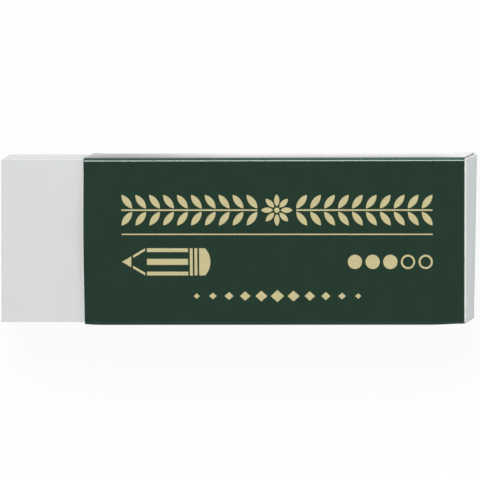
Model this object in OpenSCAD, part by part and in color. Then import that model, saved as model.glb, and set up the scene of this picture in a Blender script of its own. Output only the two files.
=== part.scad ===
/* [Vinyl block] */
// Length of the white block
block_l = 62; // [58:0.5:68]
// Width of the white block
block_w = 21.6; // [19:0.1:26]
// Thickness of the white block
block_t = 11.5; // [9:0.1:14]
// Radius along the block's twelve edges
block_edge_r = 0.2; // [0.2:0.05:1]

/* [Card sleeve] */
// Thickness of the card
card_t = 0.22; // [0.2:0.01:0.4]
// Gap between the card and the block on each side
fit_gap = 0.03; // [0.02:0.01:0.1]
// Inner radius of the folds
inner_fold_r = 0.25; // [0.05:0.01:0.25]
// Length of block left bare at the working end
bare_l = 11.1; // [6:0.1:14]
// Length of block that stands out at the far end
tail_l = 0.3; // [0.1:0.1:1]
// Width of the glue lap inside the back panel
lap_w = 8; // [5:0.5:12]
// How far each end of the glue lap tapers in
lap_taper = 3; // [1:0.5:6]
// Setback of the back panel's cut edge from the side
cut_edge_back = 0.08; // [0.02:0.01:0.2]

/* [Gold print] */
// Thickness of the foil print
foil_t = 0.04; // [0.03:0.01:0.1]
// Bare panel left between the print and each end of the sleeve
print_margin = 4.6; // [3:0.1:6]
// Distance of the print from the middle of the sleeve, towards the far end
print_shift = 0.45; // [-1:0.05:1]
// Thickness of the rule's line
rule_h = 0.17; // [0.1:0.01:0.4]
// Distance between two pairs of leaves, at least
leaf_spacing = 1.8; // [1.6:0.1:3]
// Length of a leaf
leaf_l = 2.3; // [1.5:0.1:2.4]
// Width of a leaf
leaf_w = 0.86; // [0.5:0.02:1]
// Lean of the leaves away from the stem
leaf_lean = 52; // [35:1:60]
// Length of the pencil figure
pencil_l = 11.8; // [9:0.1:13]
// Height of the pencil figure
pencil_h = 3.6; // [2.8:0.1:3.8]
// Number of softness dots, filled and open together
dot_count = 5; // [3:1:5]
// Number of softness dots that are filled
dot_filled = 3; // [1:1:3]
// Diameter of a softness dot
dot_d = 1.9; // [1.2:0.1:2.1]
// Number of lozenges in the lower row
lozenge_count = 11; // [5:2:11]

/* [Hidden] */
$fn = 64;

// The sleeve's section. It stands on the plane z = 0 and is centred on y = 0.
fold_r = inner_fold_r + card_t;
block_bottom = 2 * card_t + fit_gap;
sleeve_h = block_bottom + block_t + fit_gap + card_t;
side_y = block_w / 2 + fit_gap + card_t;

// The sleeve's place along the block, whose middle is x = 0.
sleeve_l = block_l - bare_l - tail_l;
sleeve_x0 = -block_l / 2 + bare_l;

// The print on the front panel: its columns, and its rows as shares of the panel's half width.
print_x = sleeve_x0 + sleeve_l / 2 + print_shift;
print_w = sleeve_l - 2 * print_margin;
print_left = print_x - print_w / 2;
print_right = print_x + print_w / 2;
rule_y = 0.085 * side_y;
band_y = 0.375 * side_y;
figure_y = -0.245 * side_y;
lozenge_y = -0.655 * side_y;

// The leaf band: a rosette, and a stem with leaves on each side of it.
rosette_r = 2.1;
rosette_petals = 8;
rosette_eye_r = 0.34;
petal_w = 0.7;
petal_gap = 0.16;
stem_h = 0.2;
stem_start = rosette_r + 0.5;
leaf_gap = 0.12;
leaf_run = print_w / 2 - stem_start - leaf_l * cos(leaf_lean);
leaf_pairs = floor(leaf_run / leaf_spacing) + 1;
leaf_pitch = leaf_run / (leaf_pairs - 1);

// The pencil figure, with its point to the left.
cone_l = 3.1;
lead_l = 1.25;
cone_line = 0.34;
facet_h = 0.5;
middle_facet_h = 0.8;
band_l = 0.38;
rubber_l = 1.5;
rubber_bulge = 0.7;
pencil_gap = 0.24;

// The softness dots and the lozenges.
dot_pitch = 2.35;
ring_h = 0.26;
lozenge_pitch = 2.15;
lozenge_l = 1.8;
lozenge_h = 1.6;
lozenge_shrink = 0.55;

// A rectangle with round corners, centred.
module rounded_rect(length, width, radius) {
  square([length - 2 * radius, width], center = true);
  square([length, width - 2 * radius], center = true);
  for (sx = [-1, 1], sy = [-1, 1])
    translate([sx * (length / 2 - radius), sy * (width / 2 - radius)])
      circle(radius);
}

// A bar along one axis, given by its section and its length, centred.
module bar(section, length) {
  translate([0, 0, -length / 2])
    linear_extrude(length)
      rounded_rect(section[0], section[1], block_edge_r);
}

// A fold of the card, as a quarter of a ring round the origin.
module fold(quadrant) {
  rotate(quadrant * 90)
    intersection() {
      difference() {
        circle(fold_r);
        circle(inner_fold_r);
      }
      square(fold_r);
    }
}

// The sleeve's panels and folds, y to the right and z up.
module sleeve_section() {
  panel_y = side_y - fold_r;
  top_z = sleeve_h - fold_r;
  // Front panel and its two folds
  translate([-panel_y, sleeve_h - card_t])
    square([2 * panel_y, card_t]);
  translate([panel_y, top_z])
    fold(0);
  translate([-panel_y, top_z])
    fold(1);
  // The side that turns into the back panel
  translate([side_y - card_t, fold_r])
    square([card_t, top_z - fold_r]);
  translate([panel_y, fold_r])
    fold(3);
  translate([cut_edge_back - side_y, 0])
    square([side_y - cut_edge_back + panel_y, card_t]);
  // The side that turns into the glue lap, one card's thickness higher
  translate([-side_y, card_t + fold_r])
    square([card_t, top_z - card_t - fold_r]);
  translate([-panel_y, card_t + fold_r])
    fold(2);
}

// The glue lap lies on the inside of the back panel, and its ends taper.
module glue_lap() {
  root_y = fold_r - side_y;
  linear_extrude(card_t)
    polygon([
      [0, root_y],
      [sleeve_l, root_y],
      [sleeve_l - lap_taper, root_y + lap_w],
      [lap_taper, root_y + lap_w]
    ]);
}

// A leaf of two equal arcs, with its base at the origin and its tip along +x.
module leaf(length, width) {
  arc_r = (length * length + width * width) / (4 * width);
  translate([length / 2, 0])
    intersection_for(side = [-1, 1])
      translate([0, side * (arc_r - width / 2)])
        circle(arc_r);
}

// A ring of petals round an eye.
module rosette() {
  circle(rosette_eye_r);
  for (i = [0 : rosette_petals - 1])
    rotate(i * 360 / rosette_petals)
      translate([rosette_eye_r + petal_gap, 0])
        leaf(rosette_r - rosette_eye_r - petal_gap, petal_w);
}

// A stem with pairs of leaves that lean outwards, along +x from the rosette.
module garland() {
  translate([stem_start, -stem_h / 2])
    square([print_w / 2 - stem_start, stem_h]);
  for (i = [0 : leaf_pairs - 1], side = [-1, 1])
    translate([stem_start + i * leaf_pitch, side * (stem_h / 2 + leaf_gap)])
      rotate(side * leaf_lean)
        leaf(leaf_l, leaf_w);
}

// A box that is centred on the x axis and starts at x.
module stripe(x, length, height) {
  translate([x, -height / 2])
    square([length, height]);
}

// The lead point, and the two edges of the bare cone behind it.
module pencil_point() {
  slope = pencil_h / 2 / cone_l;
  cone_x = lead_l + pencil_gap;
  polygon([[0, 0], [lead_l, -lead_l * slope], [lead_l, lead_l * slope]]);
  for (side = [-1, 1])
    polygon([
      [cone_x, side * cone_x * slope],
      [cone_l, side * cone_l * slope],
      [cone_l, side * (cone_l * slope - cone_line)],
      [cone_x, side * (cone_x * slope - cone_line)]
    ]);
}

// The rubber end, whose tip is an arc.
module pencil_rubber() {
  half_h = pencil_h / 2;
  arc_r = (half_h * half_h + rubber_bulge * rubber_bulge) / (2 * rubber_bulge);
  intersection() {
    stripe(0, rubber_l, pencil_h);
    translate([rubber_l - arc_r, 0])
      circle(arc_r);
  }
}

// The pencil: point, faceted barrel, ferrule of two bands, and rubber end.
module pencil() {
  barrel_x = cone_l + pencil_gap;
  rubber_x = pencil_l - rubber_l;
  ferrule_x = rubber_x - 2 * (band_l + pencil_gap);
  barrel_l = ferrule_x - pencil_gap - barrel_x;
  pencil_point();
  stripe(barrel_x, barrel_l, middle_facet_h);
  for (side = [-1, 1])
    translate([0, side * (pencil_h - facet_h) / 2])
      stripe(barrel_x, barrel_l, facet_h);
  for (i = [0, 1])
    stripe(ferrule_x + i * (band_l + pencil_gap), band_l, pencil_h);
  translate([rubber_x, 0])
    pencil_rubber();
}

// Filled dots and then open ones, ending at x = 0.
module softness_dots() {
  for (i = [0 : dot_count - 1])
    translate([(i + 1 - dot_count) * dot_pitch - dot_d / 2, 0])
      difference() {
        circle(d = dot_d);
        if (i >= dot_filled)
          circle(d = dot_d - 2 * ring_h);
      }
}

// A row of lozenges that grow smaller away from the middle one.
module lozenge_row() {
  middle = (lozenge_count - 1) / 2;
  for (i = [-middle : middle])
    translate([i * lozenge_pitch, 0])
      scale(1 - lozenge_shrink * abs(i) / middle)
        polygon([
          [-lozenge_l / 2, 0],
          [0, -lozenge_h / 2],
          [lozenge_l / 2, 0],
          [0, lozenge_h / 2]
        ]);
}

// The moulded block: one bar, with its edges round in all three directions.
module vinyl_block() {
  color([0.93, 0.94, 0.93])
    translate([0, 0, block_bottom + block_t / 2])
      intersection() {
        bar([block_l, block_w], block_t);
        rotate([90, 0, 0])
          bar([block_l, block_t], block_w);
        rotate([90, 0, 90])
          bar([block_w, block_t], block_l);
      }
}

// One strip of card, folded four times round the block and glued along its lap.
module card_sleeve() {
  color([0.16, 0.24, 0.19])
    translate([sleeve_x0, 0, 0]) {
      rotate([90, 0, 90])
        linear_extrude(sleeve_l)
          sleeve_section();
      translate([0, 0, card_t])
        glue_lap();
    }
}

// The foil print, which lies on the front panel.
module gold_print() {
  color([0.77, 0.72, 0.54])
    translate([0, 0, sleeve_h])
      linear_extrude(foil_t) {
        translate([print_left, rule_y])
          stripe(0, print_w, rule_h);
        translate([print_x, band_y]) {
          rosette();
          garland();
          mirror([1, 0])
            garland();
        }
        translate([print_left, figure_y])
          pencil();
        translate([print_right, figure_y])
          softness_dots();
        translate([print_x, lozenge_y])
          lozenge_row();
      }
}

vinyl_block();
card_sleeve();
gold_print();
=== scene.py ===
import math

import bmesh
import bpy
from mathutils import Matrix, Vector, noise


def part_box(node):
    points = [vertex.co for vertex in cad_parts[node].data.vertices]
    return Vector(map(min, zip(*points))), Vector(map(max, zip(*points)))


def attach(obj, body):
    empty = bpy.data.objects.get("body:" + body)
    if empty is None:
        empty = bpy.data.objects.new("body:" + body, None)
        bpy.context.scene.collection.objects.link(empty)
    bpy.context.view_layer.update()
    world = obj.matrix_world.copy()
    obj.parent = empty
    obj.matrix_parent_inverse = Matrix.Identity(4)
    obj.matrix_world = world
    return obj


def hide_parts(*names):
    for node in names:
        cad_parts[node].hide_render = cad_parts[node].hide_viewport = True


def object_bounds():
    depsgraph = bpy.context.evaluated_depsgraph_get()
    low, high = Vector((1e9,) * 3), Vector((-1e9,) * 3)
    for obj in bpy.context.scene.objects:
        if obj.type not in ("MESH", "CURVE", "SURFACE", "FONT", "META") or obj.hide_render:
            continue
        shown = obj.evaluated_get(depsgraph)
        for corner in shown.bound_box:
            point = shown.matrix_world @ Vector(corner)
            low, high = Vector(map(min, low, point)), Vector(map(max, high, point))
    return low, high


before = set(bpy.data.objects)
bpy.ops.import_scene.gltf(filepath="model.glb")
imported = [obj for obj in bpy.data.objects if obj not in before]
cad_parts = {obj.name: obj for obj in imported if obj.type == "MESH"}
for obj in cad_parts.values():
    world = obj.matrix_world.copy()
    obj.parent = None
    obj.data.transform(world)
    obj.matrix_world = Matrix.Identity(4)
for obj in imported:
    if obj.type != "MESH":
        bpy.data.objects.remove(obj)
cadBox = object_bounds()
mm = 0.001
tiny = 1e-6  # places nearer than this count as the same
noiseMiddle = (0.3, 0.7)  # most of a noise's values lie between these
noiseRange = (0.2, 0.8)  # and nearly all between these
print("frame: loaded with nodes", sorted(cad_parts))


class Wire:  # an output socket; a sum on it adds a Math node
    def __init__(self, tree, socket):
        self.tree = tree
        self.socket = socket

    def work(self, operation, first, second):
        return self.tree.add("Math", {"operation": operation}, {0: first, 1: second})

    def __add__(self, other):
        return self.work("ADD", self, other)

    def __radd__(self, other):
        return self.work("ADD", other, self)

    def __sub__(self, other):
        return self.work("SUBTRACT", self, other)

    def __rsub__(self, other):
        return self.work("SUBTRACT", other, self)

    def __mul__(self, other):
        return self.work("MULTIPLY", self, other)

    def __rmul__(self, other):
        return self.work("MULTIPLY", other, self)


class Tree:  # the nodes of a material or of the world
    def __init__(self, owner):
        owner.use_nodes = True
        self.owner = owner
        self.nodes = owner.node_tree.nodes
        self.links = owner.node_tree.links

    def add(self, kind, settings=None, sockets=None, output=0):
        node = self.nodes.new("ShaderNode" + kind)
        for name, value in (settings or {}).items():
            setattr(node, name, value)
        self.feed(node, sockets or {})
        return Wire(self, node.outputs[output])

    def feed(self, node, sockets):
        for name, value in sockets.items():
            socket = node.inputs[name]
            if isinstance(value, Wire):
                self.links.new(value.socket, socket)
            elif socket.type == "RGBA":
                socket.default_value = (*value, 1.0)
            else:
                socket.default_value = value

    def blend(self, factor, first, second):  # of two colours, at the Mix node's colour sockets
        return self.add("Mix", {"data_type": "RGBA"}, {0: factor, 6: first, 7: second}, 2)

    def remap(self, value, ends, results=(0.0, 1.0)):
        sockets = {
            "Value": value,
            "From Min": ends[0],
            "From Max": ends[1],
            "To Min": results[0],
            "To Max": results[1],
        }
        return self.add("MapRange", {"interpolation_type": "SMOOTHSTEP"}, sockets)

    def axis(self, vector, name):
        return self.add("SeparateXYZ", sockets={"Vector": vector}, output=name)

    def painted(self, name):  # a value that the mesh's points carry
        return self.add("Attribute", {"attribute_name": name}, output="Fac")

    def speckle(self, size, detail, stretch=(1, 1, 1)):
        # noise whose blobs are about this size in metres, longer along the stretch
        place = self.add("TexCoord", output="Object")
        scale = [1 / (size * longer) for longer in stretch]
        place = self.add("Mapping", sockets={"Vector": place, "Scale": scale})
        return self.add("TexNoise", sockets={"Vector": place, "Scale": 1.0, "Detail": detail})

    def bump(self, height, depth, under=None):
        sockets = {"Height": height, "Distance": depth, "Strength": 1.0}
        if under:
            sockets["Normal"] = under
        return self.add("Bump", sockets=sockets)


def newFinish(name):
    tree = Tree(bpy.data.materials.new(name))
    return tree, tree.nodes["Principled BSDF"]


def newPiece(name, mesh, finishes):
    data = bpy.data.meshes.new(name)
    for face in mesh.faces:
        face.smooth = True
    mesh.to_mesh(data)
    mesh.free()
    piece = bpy.data.objects.new(name, data)
    bpy.context.scene.collection.objects.link(piece)
    for finish in finishes:
        data.materials.append(finish.owner)
    return piece


def cutThrough(mesh, place, normal):  # adds a line of edges all round and keeps both sides
    parts = mesh.verts[:] + mesh.edges[:] + mesh.faces[:]
    bmesh.ops.bisect_plane(mesh, geom=parts, plane_co=place, plane_no=normal)


def roundEdges(mesh, edges, radius, segments):
    bmesh.ops.bevel(
        mesh,
        geom=edges,
        offset=radius,
        segments=segments,
        profile=0.5,
        affect="EDGES",
        material=-1,
    )


def between(first, second, share):
    return first + (second - first) * share


def lastTenth(amount):  # 0 up to 0.9, then straight up to 1
    return max(0.0, amount - 0.9) * 10


def bend(amount):  # 0 and flat at both ends, 1 in the middle
    return math.sin(math.pi * min(max(amount, 0.0), 1.0)) ** 2


def ease(amount):  # from 0 to 1, flat at both ends
    amount = min(max(amount, 0.0), 1.0)
    return amount * amount * (3 - 2 * amount)


cameraValues = {
    "distance": 2.0,
    "frameWidth": 63.48 * mm,
    "tiltRight": 7.0,  # degrees from straight above, towards +X
    "tiltUp": 3.5,  # degrees towards +Y
    "roll": -0.435,  # degrees
    "targetX": 0.913 * mm,
    "targetY": 0.187 * mm,
}


def makeCamera():
    v = cameraValues
    right = math.radians(v["tiltRight"])
    up = math.radians(v["tiltUp"])
    back = Vector((math.sin(right) * math.cos(up), math.sin(up), math.cos(right) * math.cos(up)))
    across = Vector((0, 1, 0)).cross(back).normalized()
    turn = Matrix((across, back.cross(across), back)).transposed()
    target = Vector((v["targetX"], v["targetY"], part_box("card_sleeve")[1].z))
    data = bpy.data.cameras.new("camera")
    data.lens = data.sensor_width * v["distance"] / v["frameWidth"]
    camera = bpy.data.objects.new("camera", data)
    bpy.context.scene.collection.objects.link(camera)
    camera.matrix_world = (
        Matrix.Translation(target + back * v["distance"])
        @ turn.to_4x4()
        @ Matrix.Rotation(math.radians(v["roll"]), 4, "Z")
    )
    bpy.context.scene.camera = camera


makeCamera()
print("camera: placed")

blockValues = {
    # shape
    "edgeRadius": 0.1 * mm,
    "edgeSegments": 3,
    "sharpShare": 0.4,  # of that radius is left on the -Y edges and at the far end
    "rows": (30, 10, 5),  # of faces along X, Y and Z
    "pushedOver": 0.09 * mm,  # the block lies against the sleeve's +Y wall
    "endsOutOfSquare": 0.0076,  # both ends are cut this much off square, as a slope
    "farEndTwist": 0.2 * mm,  # the far end's lower edge leans out at +Y and in at -Y
    "nearEndLean": 0.4 * mm,  # the bare end's lower edge leans out by this
    "endHollow": 0.05 * mm,  # the middle of both ends lies this much deeper
    "unevenness": 0.012 * mm,  # depth of the soft dents in all faces
    "unevennessSize": 7 * mm,  # distance from one to the next
    # white vinyl
    "light": (0.708, 0.726, 0.720),
    "shade": (0.692, 0.710, 0.704),
    "cloud": 6 * mm,  # size of the patches of light and shade
    "shadedCutEnd": (0.645, 0.700, 0.695),  # painted shade and a cool painted tint of the side light on both end faces
    "tailHighlight": (0.775, 0.83, 0.785),  # painted highlight along the far end's rim, lighter and greener than the rest
    "tailHighlightReach": (0.5 * mm, 0.4 * mm),  # it fades in between these distances from the far end
    "roughness": (0.47, 0.57),
    "grain": 0.18 * mm,
    "grainDepth": 0.004 * mm,
    "cutLine": 0.22 * mm,  # width of the knife's lines across the ends
    "cutLineStretch": (1, 30, 1),
    "cutDepth": 0.012 * mm,
}


def makeVinyl(endX):
    v = blockValues
    tree, shader = newFinish("whiteVinyl")
    cloud = tree.speckle(v["cloud"], detail=2.0)
    grain = tree.speckle(v["grain"], detail=4.0)
    lines = tree.speckle(v["cutLine"], detail=3.0, stretch=v["cutLineStretch"])
    along = tree.axis(tree.add("TexCoord", output="Object"), "X")
    onTailHighlight = tree.remap(along, [endX - reach for reach in v["tailHighlightReach"]])
    onEnd = tree.painted("shadedCutEnd")
    colour = tree.blend(tree.remap(cloud, noiseMiddle), v["shade"], v["light"])
    # painted highlight along the far end's rim
    colour = tree.blend(onTailHighlight, colour, v["tailHighlight"])
    # painted shade and cool tint on both end faces
    colour = tree.blend(onEnd, colour, v["shadedCutEnd"])
    skin = tree.bump(grain, v["grainDepth"])
    skin = tree.bump(lines * onEnd, v["cutDepth"], skin)
    roughness = tree.remap(grain, noiseRange, v["roughness"])
    tree.feed(shader, {"Base Color": colour, "Roughness": roughness, "Normal": skin})
    return tree


def wearBlock(mesh, low, high):  # gives the true bar the small faults of a moulded and cut one
    v = blockValues
    centre = (low + high) / 2
    size = high - low
    # marks the end faces, where the knife lines and the painted shade go
    shadedCutEnd = mesh.verts.layers.float.new("shadedCutEnd")
    for vert in mesh.verts:
        x, y, z = (2 * (vert.co[i] - centre[i]) / size[i] for i in range(3))  # each from -1 to 1
        vert[shadedCutEnd] = 1.0 if abs(x) > 1 - tiny else 0.0
        fromFarEnd = high.x - vert.co.x
        if fromFarEnd < v["edgeRadius"]:
            vert.co.x += (1 - v["sharpShare"]) * fromFarEnd
        fromSide = vert.co.y - low.y
        if fromSide < v["edgeRadius"]:
            vert.co.y -= (1 - v["sharpShare"]) * fromSide
        end = lastTenth(abs(x))
        lean = v["farEndTwist"] * y if x > 0 else -v["nearEndLean"]
        vert.co.x += end * v["endsOutOfSquare"] * y * size.y / 2
        vert.co.x -= math.copysign(end, x) * v["endHollow"] * (1 - y * y) * (1 - z * z)
        vert.co.x += end * (1 - z) / 2 * lean
        dent = (1 - noise.noise(vert.co / v["unevennessSize"])) / 2
        vert.co -= vert.normal * dent * v["unevenness"]
        vert.co.y += v["pushedOver"]


def makeBlock():
    v = blockValues
    low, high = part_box("vinyl_block")
    size = high - low
    mesh = bmesh.new()
    place = Matrix.Translation((low + high) / 2) @ Matrix.Diagonal((*size, 1))
    bmesh.ops.create_cube(mesh, size=1, matrix=place)
    roundEdges(mesh, mesh.edges[:], v["edgeRadius"], v["edgeSegments"])
    for axis, rows in enumerate(v["rows"]):
        normal = Vector((0, 0, 0))
        normal[axis] = 1
        for i in range(1, rows):
            cut = low.copy()
            cut[axis] += size[axis] * i / rows
            cutThrough(mesh, cut, normal)
    wearBlock(mesh, low, high)
    piece = newPiece("vinylBlock", mesh, [makeVinyl(high.x)])
    piece.modifiers.new("evenShading", "WEIGHTED_NORMAL")
    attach(piece, "block")
    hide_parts("vinyl_block")


makeBlock()
print("block: made")

sleeveValues = {
    # shape
    "card": 0.22 * mm,
    "foldRadius": 0.6 * mm,  # on the outside
    "foldSegments": 10,
    "lapWidth": 8 * mm,
    "lapTaper": 3 * mm,
    "lapLift": 0.01 * mm,  # between the lap and the back panel
    "cutEdgeBack": 0.08 * mm,  # the back panel ends this far short of the -Y wall
    "rows": 12,  # of cuts across each panel
    "columns": 50,  # of cuts along the sleeve
    "crispEnd": 0.12 * mm,  # a line of edges this far from each end keeps it crisp
    "edgeRound": 0.03 * mm,
    "edgeSegments": 2,
    "edgeAngle": 50,  # degrees, past which an edge is a cut one
    "slack": 0.05 * mm,  # both walls stand this much further out than on a tight sleeve
    "mouthLift": 0.28 * mm,  # the front panel is lifted at the mouth
    "mouthBow": 0.05 * mm,  # and its edge bows out over the block
    "mouthReach": 4 * mm,  # how far along the sleeve both fade out
    "mouthPinch": 0.1 * mm,  # the -Y wall comes in at the mouth
    "mouthPinchReach": 1.6 * mm,
    "farPinch": 0.15 * mm,  # and at the far end, where it lies on the block
    "farPinchReach": 4.5 * mm,
    "swell": 0.62 * mm,  # the +Y wall swells below its top fold
    "swellReach": 3.3 * mm,
    "swellPressed": 0.8,  # share of the swell that is pressed flat at the mouth
    "wallLean": 0.061,  # and the wall leans in further down, as a slope
    "bulge": 0.12 * mm,  # of the -Y wall
    "farEndSkew": 0.0076,  # the far end is cut this much off square, as a slope
    "farEndOut": 0.045 * mm,  # and stands this much further out
    "askew": 0.001,  # the sleeve lies turned on the block by this slope
    # green ink
    "green": (0.0185, 0.0440, 0.0282),
    "deepGreen": (0.0165, 0.0400, 0.0254),
    "cloud": 3 * mm,  # size of the patches of green and deep green
    "glossTint": (0.88, 1.0, 0.94),  # of what the ink reflects
    "roughness": (0.155, 0.185),
    "handled": 0.65,  # the -Y wall is this much rougher
    "handledAtMouth": 0.07,  # share of that on the +Y wall near the mouth
    # a lighter green on the folds: partly rubbed ink, partly painted highlight of the main lamp
    "wornAndHighlight": (0.070, 0.150, 0.112),
    "wearAndHighlight": 0.55,  # share of that colour, as wear and painted highlight, where a fold is rubbed most
    "wearAndHighlightAlong": (0.65, 1.0),  # how much wear and painted highlight the +Y folds get, at the mouth and at the far end
    # patches along the folds in that wear and painted highlight
    "wearAndHighlightPatch": 0.5 * mm,
    "wearAndHighlightPatchStretch": (6, 1, 1),
    "wearAndHighlightPatchSpread": (0.85, 1.15),
    "creaseAndHighlight": 0.64,  # how strong a lighter line along the -Y folds is, partly wear and partly painted highlight
    "creaseAndHighlightTo": 0.8,  # where that line ends, as a share of the fold's width
    "varnish": (0.12, 1.0),  # on the +Y wall, thin at the mouth from handling and full further on
    "varnishAlong": (0.08, 0.45),  # the shares of the sleeve's length between which it thickens
    "varnishRoughness": 0.08,
    "fibre": 0.25 * mm,  # width of the card's fibres
    "fibreStretch": (3, 1, 1),
    "fibreDepth": 0.0015 * mm,
    # bare board, inside and at the cut edges
    "board": (0.50, 0.50, 0.47),
    "cutEdge": (0.46, 0.45, 0.41),
    "boardFleck": (0.36, 0.35, 0.31),
    "fleckEnds": (0.35, 0.75),  # the noise's values at which the board and the fleck are plain
    "boardRoughness": 0.85,
    "boardFibreStretch": (4, 1, 1),
    "boardFibreDepth": 0.006 * mm,
}


def makeInk():
    v = sleeveValues
    tree, shader = newFinish("greenInk")
    cloud = tree.speckle(v["cloud"], detail=3.0)
    fibre = tree.speckle(v["fibre"], detail=4.0, stretch=v["fibreStretch"])
    patch = tree.speckle(v["wearAndHighlightPatch"], detail=4.0, stretch=v["wearAndHighlightPatchStretch"])
    patch = tree.remap(patch, noiseMiddle, v["wearAndHighlightPatchSpread"])
    fold = tree.painted("fold")
    colour = tree.blend(tree.remap(cloud, noiseMiddle), v["deepGreen"], v["green"])
    # rubbed ink and painted highlight on the folds
    colour = tree.blend(v["wearAndHighlight"] * patch * fold * fold, colour, v["wornAndHighlight"])
    roughness = tree.remap(fibre, noiseRange, v["roughness"])
    sockets = {
        "Base Color": colour,
        "Roughness": roughness + v["handled"] * tree.painted("handled"),
        "Specular Tint": v["glossTint"],
        "Coat Weight": tree.painted("varnish"),
        "Coat Roughness": v["varnishRoughness"],
        "Normal": tree.bump(fibre, v["fibreDepth"]),
    }
    tree.feed(shader, sockets)
    return tree


def makeBoard(name, colour):
    v = sleeveValues
    tree, shader = newFinish(name)
    fibre = tree.speckle(v["fibre"], detail=5.0, stretch=v["boardFibreStretch"])
    sockets = {
        "Base Color": tree.blend(tree.remap(fibre, v["fleckEnds"]), colour, v["boardFleck"]),
        "Roughness": v["boardRoughness"],
        "Normal": tree.bump(fibre, v["boardFibreDepth"]),
    }
    tree.feed(shader, sockets)
    return tree


def foldCard(low, high, lapZ):  # one strip of card, from the lap's free edge round to the cut edge
    v = sleeveValues
    length = high.x - low.x
    corners = (
        (low.y + v["foldRadius"] + v["lapWidth"], lapZ),
        (low.y, lapZ),
        (low.y, high.z),
        (high.y, high.z),
        (high.y, 0),
        (low.y + v["cutEdgeBack"], 0),
    )
    mesh = bmesh.new()
    points = [mesh.verts.new((low.x, y, z)) for y, z in corners]
    strip = [mesh.edges.new(pair) for pair in zip(points, points[1:])]
    parts = bmesh.ops.extrude_edge_only(mesh, edges=strip)["geom"]
    pulled = [part for part in parts if isinstance(part, bmesh.types.BMVert)]
    bmesh.ops.translate(mesh, verts=pulled, vec=(length, 0, 0))
    folds = [edge for edge in mesh.edges if len(edge.link_faces) == 2]
    roundEdges(mesh, folds, v["foldRadius"], v["foldSegments"])
    for x in (low.x + v["crispEnd"], high.x - v["crispEnd"]):
        cutThrough(mesh, (x, 0, 0), (1, 0, 0))
    wide = [e for e in mesh.edges if 2 * v["foldRadius"] < e.calc_length() < length / 2]
    bmesh.ops.subdivide_edges(mesh, edges=wide, cuts=v["rows"], use_grid_fill=True)
    long = [e for e in mesh.edges if e.calc_length() > length / 2]
    bmesh.ops.subdivide_edges(mesh, edges=long, cuts=v["columns"], use_grid_fill=True)
    bmesh.ops.recalc_face_normals(mesh, faces=mesh.faces)
    front = next(face for face in mesh.faces if face.calc_center_median().z > high.z - tiny)
    if front.normal.z < 0:
        bmesh.ops.reverse_faces(mesh, faces=mesh.faces)
    return mesh


def paintCard(mesh, low, high):  # where the card's folds are rubbed and given painted highlight, and where it is varnished and handled
    v = sleeveValues
    radius = v["foldRadius"]
    layers = [mesh.verts.layers.float.new(name) for name in ("fold", "varnish", "handled")]
    fold, varnish, handled = layers
    thinTo, fullFrom = v["varnishAlong"]
    for vert in mesh.verts:
        x, y, z = vert.co
        along = (x - low.x) / (high.x - low.x)
        beyondPanel = max(0.0, abs(y) - (high.y - radius)) / radius
        beyondWall = max(0.0, radius - min(z, high.z - z)) / radius
        if y > 0:
            kept = ease((along - thinTo) / (fullFrom - thinTo))
            inFold = min(1.0, 2 * beyondPanel * beyondWall)  # 1 half way round it
            # wear and painted highlight on the +Y fold
            vert[fold] = between(*v["wearAndHighlightAlong"], along) * inFold
            vert[varnish] = between(*v["varnish"], kept) * lastTenth(beyondPanel)
            vert[handled] = v["handledAtMouth"] * (1 - kept) * min(beyondPanel, 1.0)
        else:
            # a lighter line of wear and painted highlight along the -Y fold
            vert[fold] = v["creaseAndHighlight"] * bend(beyondPanel / v["creaseAndHighlightTo"])
            vert[handled] = min(beyondPanel, 1.0)


def bendCard(mesh, low, high, lapZ):  # gives it the small faults of a sleeve folded by hand and used
    v = sleeveValues
    length = high.x - low.x
    middle = (low.x + high.x) / 2
    lapRoot = low.y + v["foldRadius"]
    wallHeight = high.z - 2 * v["foldRadius"]
    for vert in mesh.verts:
        x, y, z = vert.co
        beyondPanel = max(0.0, abs(y) - (high.y - v["foldRadius"])) / v["foldRadius"]
        down = min(max(high.z - v["foldRadius"] - z, 0.0), wallHeight)
        atMouth = ease(1 - (x - low.x) / v["mouthPinchReach"])
        atFarEnd = ease(1 - (high.x - x) / v["farPinchReach"])
        if abs(z - lapZ) < tiny and y >= lapRoot - tiny:  # the lap's ends taper
            taper = v["lapTaper"] * (y - lapRoot) / v["lapWidth"]
            vert.co.x = middle + (x - middle) * (1 - 2 * taper / length)
        if y > 0:
            swell = v["swell"] * (1 - math.exp(-down / v["swellReach"])) - v["wallLean"] * down
            swell *= (1 - v["swellPressed"] * atMouth) * (1 - atFarEnd)
            vert.co.y += swell * beyondPanel
        else:
            pinch = v["mouthPinch"] * atMouth + v["farPinch"] * atFarEnd
            vert.co.y += pinch * beyondPanel
        if y < low.y + tiny:
            vert.co.y -= v["bulge"] * bend(down / wallHeight) * (1 - atFarEnd)
        if z > high.z - tiny:
            lift = max(0.0, 1 - (x - low.x) / v["mouthReach"]) ** 2
            lift *= bend((y - low.y) / (high.y - low.y))
            vert.co.z += v["mouthLift"] * lift
            vert.co.x -= v["mouthBow"] * lift
        vert.co.x += (v["farEndSkew"] * y + v["farEndOut"]) * (x - low.x) / length
        vert.co.y += v["askew"] * (x - middle)


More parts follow.
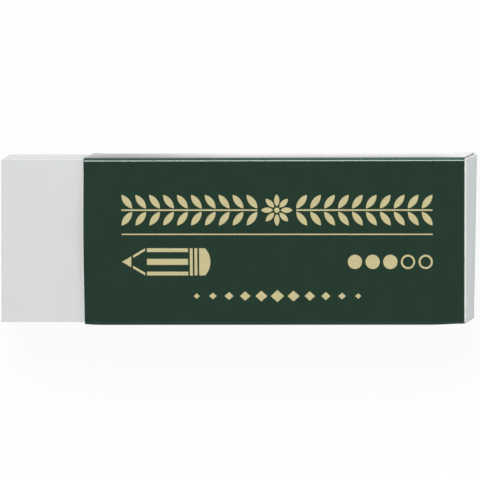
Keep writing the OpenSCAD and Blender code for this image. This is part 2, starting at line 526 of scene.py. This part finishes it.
def makeSleeve():
    v = sleeveValues
    low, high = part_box("card_sleeve")
    low.y -= v["slack"]
    high.y += v["slack"]
    lapZ = v["card"] + v["lapLift"]
    mesh = foldCard(low, high, lapZ)
    paintCard(mesh, low, high)
    bendCard(mesh, low, high, lapZ)
    inside = makeBoard("rawBoard", v["board"])
    rim = makeBoard("cutBoard", v["cutEdge"])
    piece = newPiece("cardSleeve", mesh, [makeInk(), inside, rim])
    thickness = piece.modifiers.new("thickness", "SOLIDIFY")
    thickness.thickness = v["card"]
    thickness.offset = -1  # inwards
    thickness.use_even_offset = True
    thickness.material_offset = 1
    thickness.material_offset_rim = 2
    cutEdges = piece.modifiers.new("cutEdges", "BEVEL")
    cutEdges.width = v["edgeRound"]
    cutEdges.segments = v["edgeSegments"]
    cutEdges.limit_method = "ANGLE"
    cutEdges.angle_limit = math.radians(v["edgeAngle"])
    piece.modifiers.new("evenShading", "WEIGHTED_NORMAL")
    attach(piece, "sleeve")
    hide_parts("card_sleeve")


makeSleeve()
print("sleeve: made")

printValues = {
    "pale": (0.69, 0.625, 0.342),
    "warm": (0.645, 0.572, 0.30),
    "metallic": 0.25,
    "roughness": (0.36, 0.48),
    "grain": 0.3 * mm,
    "grainDepth": 0.002 * mm,
}


def finishPrint():
    v = printValues
    tree, shader = newFinish("paleGold")
    grain = tree.speckle(v["grain"], detail=4.0)
    sockets = {
        "Base Color": tree.blend(tree.remap(grain, noiseMiddle), v["warm"], v["pale"]),
        "Metallic": v["metallic"],
        "Roughness": tree.remap(grain, noiseRange, v["roughness"]),
        "Normal": tree.bump(grain, v["grainDepth"]),
    }
    tree.feed(shader, sockets)
    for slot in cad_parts["gold_print"].material_slots:
        slot.material = tree.owner


finishPrint()
print("print: finished")

floorValues = {
    "halfSize": 10.0,
    "drop": 0.01 * mm,  # the floor lies this far below the object
    "white": 0.75,
    "glow": 0.95,  # share of the floor's seen colour that is plain white near the object
    "shadowReach": (1.1, 1.8),  # it rises to 1 between these, in half lengths and whole widths
}


def makeFloor():
    v = floorValues
    mesh = bmesh.new()
    place = Matrix.Translation((0, 0, cadBox[0].z - v["drop"]))
    bmesh.ops.create_grid(mesh, x_segments=1, y_segments=1, size=v["halfSize"], matrix=place)
    tree, shader = newFinish("whiteTable")
    tree.nodes.remove(shader)
    unseen = 1.0
    for kind in ("Camera", "Glossy", "Transmission"):  # rays that see the floor as white
        unseen = unseen * (1 - tree.add("LightPath", output=f"Is {kind} Ray"))
    size = cadBox[1] - cadBox[0]
    place = tree.add("TexCoord", output="Object")
    place = tree.add("Mapping", sockets={"Vector": place, "Scale": (2 / size.x, 1 / size.y, 0)})
    away = tree.add("VectorMath", {"operation": "LENGTH"}, {0: place}, "Value")
    share = tree.remap(away, v["shadowReach"], (v["glow"], 1.0))
    diffuse = tree.add("BsdfDiffuse", sockets={"Color": (v["white"],) * 3})
    glow = tree.add("Emission", sockets={"Color": (1, 1, 1), "Strength": 1.0})
    mix = tree.add("MixShader", sockets={0: (1 - unseen) * share, 1: diffuse, 2: glow})
    tree.feed(tree.nodes["Material Output"], {"Surface": mix})
    floor = newPiece("table", mesh, [tree])


worldValues = {
    "zenith": 0.14,
    "horizon": 0.45,
    "heights": (0.2, 0.9),  # the light falls from horizon to zenith between these
    "nearSide": 0.25,  # share of that light which comes from the -Y side
    "sides": (-0.6, 0.2),  # it rises to all of it between these
}


def makeWorld():
    v = worldValues
    world = bpy.data.worlds.new("studio")
    bpy.context.scene.world = world
    tree = Tree(world)
    direction = tree.add("TexCoord", output="Generated")
    level = tree.remap(tree.axis(direction, "Z"), v["heights"], (v["horizon"], v["zenith"]))
    share = tree.remap(tree.axis(direction, "Y"), v["sides"], (v["nearSide"], 1.0))
    tree.feed(tree.nodes["Background"], {"Color": (1, 1, 1), "Strength": level * share})


lampValues = {
    "distance": 1.2,
    "lamps": {  # degrees from straight above and round from +X, width, height, brightness
        "key": (34, 99, 0.52, 0.42, 17.1),
        "fill": (45, 270, 0.9, 0.5, 0.3),
        "right": (66, 0, 0.9, 0.8, 2.0),
        "left": (60, 180, 0.6, 0.6, 0.8),
    },
}


def makeLamps():
    v = lampValues
    centre = (cadBox[0] + cadBox[1]) / 2
    for name, (fromTop, about, width, height, brightness) in v["lamps"].items():
        turn = Matrix.Rotation(math.radians(about), 3, "Z")
        back = turn @ Matrix.Rotation(math.radians(fromTop), 3, "Y") @ Vector((0, 0, 1))
        data = bpy.data.lights.new(name, "AREA")
        data.shape = "RECTANGLE"
        data.size = width
        data.size_y = height
        data.energy = brightness * math.pi * width * height
        lamp = bpy.data.objects.new(name, data)
        bpy.context.scene.collection.objects.link(lamp)
        place = Matrix.Translation(centre + back * v["distance"])
        lamp.matrix_world = place @ back.to_track_quat("Z", "Y").to_matrix().to_4x4()


makeFloor()
makeWorld()
makeLamps()
bpy.context.scene.view_settings.view_transform = "Standard"
print("stage: floor, world and lamps made")
